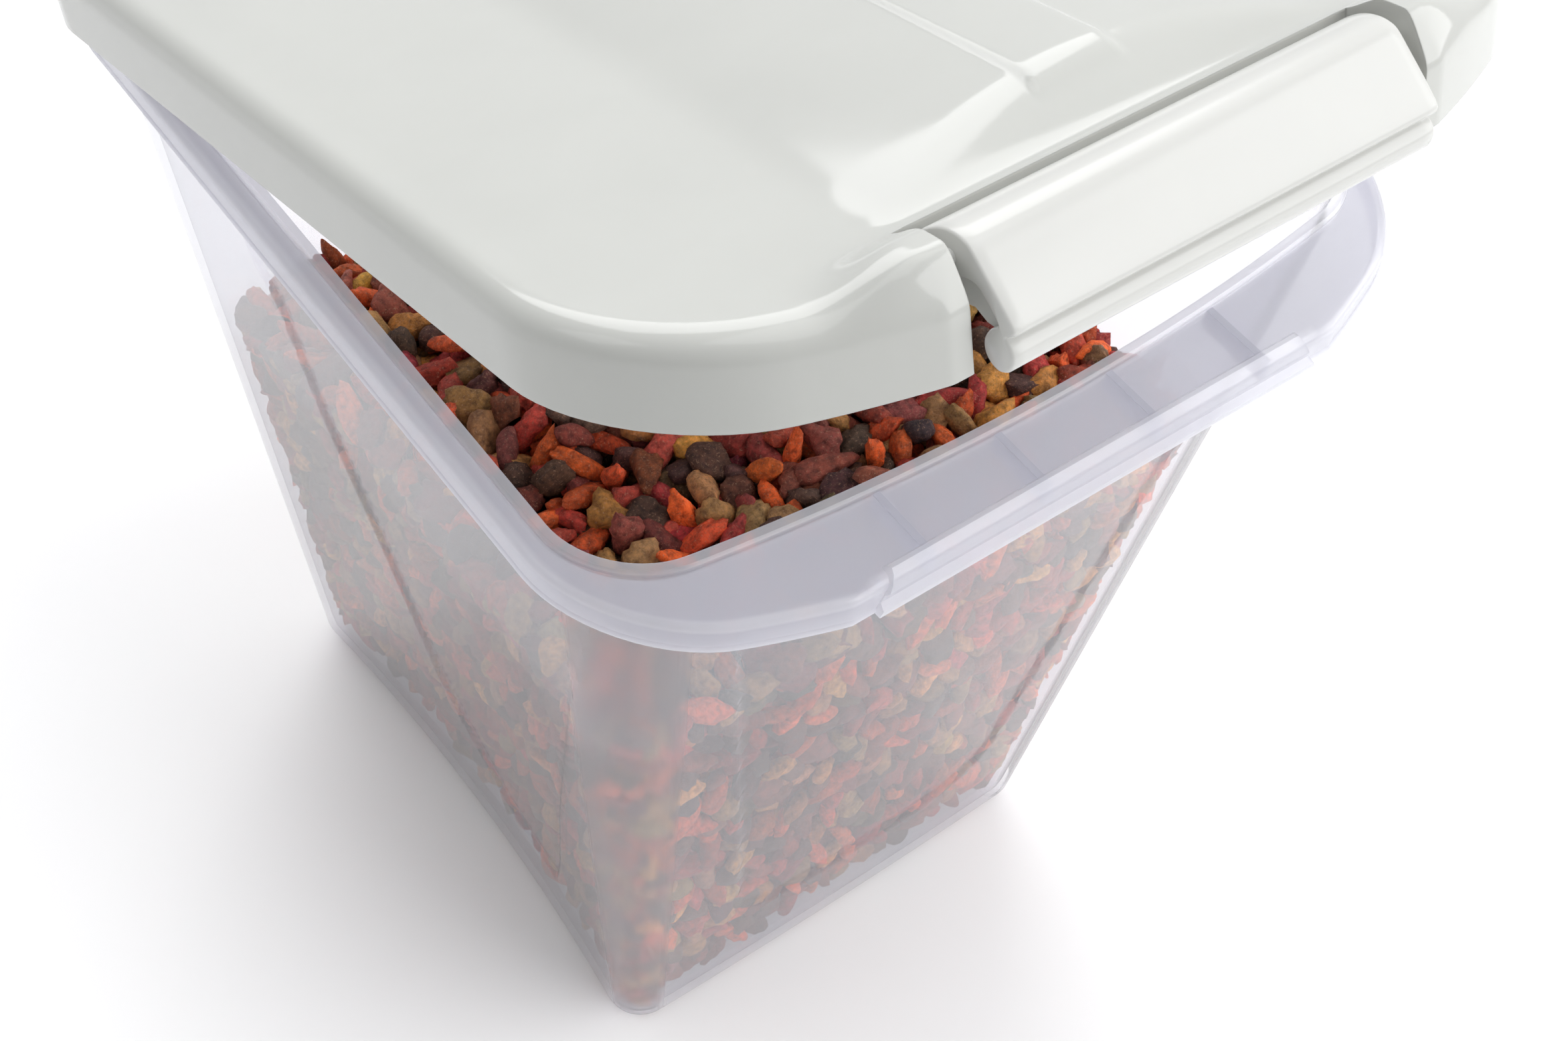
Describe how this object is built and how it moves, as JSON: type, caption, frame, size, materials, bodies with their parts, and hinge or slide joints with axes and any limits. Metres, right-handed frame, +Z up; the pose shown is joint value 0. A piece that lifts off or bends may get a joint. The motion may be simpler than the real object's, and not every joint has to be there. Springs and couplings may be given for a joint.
{
  "type": "feed storage bin",
  "caption": "Tapered translucent tub of dry feed with a flanged rim, a hinged domed lid and a wide snap latch at the front.",
  "frame": {"origin": "centre of the underside of the tub's floor", "axes": "+X to the right seen from the front, +Y towards the hinge, -Y towards the latch, +Z up"},
  "size_m": [0.241, 0.2889, 0.3748],
  "materials": {
    "tub_plastic": "translucent frosted moulding",
    "lid_plastic": "glossy warm white",
    "latch_plastic": "glossy white",
    "pin_plastic": "smooth white",
    "seal": "soft matt",
    "feed": "dry baked pieces in mixed browns and reds"
  },
  "bodies": {
    "bin": {"bin": "tub_plastic", "feed": "feed", "hinge_pin_left": "pin_plastic", "hinge_pin_right": "pin_plastic"},
    "lid": {"lid": "lid_plastic", "lid_gasket": "seal", "latch_rod": "pin_plastic"},
    "latch": {"latch": "latch_plastic"}
  },
  "joints": [
    {"name": "lid_hinge", "type": "hinge", "parent": "bin", "child": "lid", "pos_m": [0, 0.121, 0.279], "axis": [-1, 0, 0], "range_deg": [-16.7, 80]},
    {"name": "latch_hinge", "type": "hinge", "parent": "lid", "child": "latch", "pos_m": [0, -0.14436, 0.36853], "axis": [-1, 0, 0], "range_deg": [-54.5, 60]}
  ]
}
